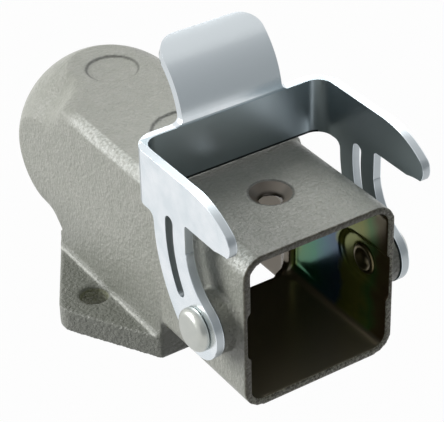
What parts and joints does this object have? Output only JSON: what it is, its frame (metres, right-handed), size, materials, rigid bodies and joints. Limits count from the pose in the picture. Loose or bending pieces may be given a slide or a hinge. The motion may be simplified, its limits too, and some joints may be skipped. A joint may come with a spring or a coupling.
{
  "type": "connector housing",
  "caption": "Angled panel-mount housing for a rectangular connector: a cast elbow with a square shell, a diamond flange and a hinged locking lever.",
  "frame": {"origin": "midway between the two fixing holes, on the mounting plane", "axes": "+Z away from the panel; the shell opens towards -Y and the ball-shaped back is at +Y; X runs through the two fixing holes and along the lever's hinge"},
  "size_m": [0.0412, 0.0727, 0.0492],
  "materials": {
    "hammer_paint": "hammer-finish grey-beige paint on a zinc die casting, chromated inside",
    "zinc_plate": "bright zinc plate on bent spring steel",
    "rivet_steel": "satin plated steel"
  },
  "bodies": {
    "housing": {"housing": "hammer_paint", "rivet_left": "rivet_steel", "rivet_right": "rivet_steel"},
    "lever": {"locking_lever": "zinc_plate"}
  },
  "joints": [
    {"name": "lever_hinge", "type": "hinge", "parent": "housing", "child": "lever", "pos_m": [0, -0.0312, 0.0175], "axis": [1, 0, 0], "range_deg": [-2, 125]}
  ]
}
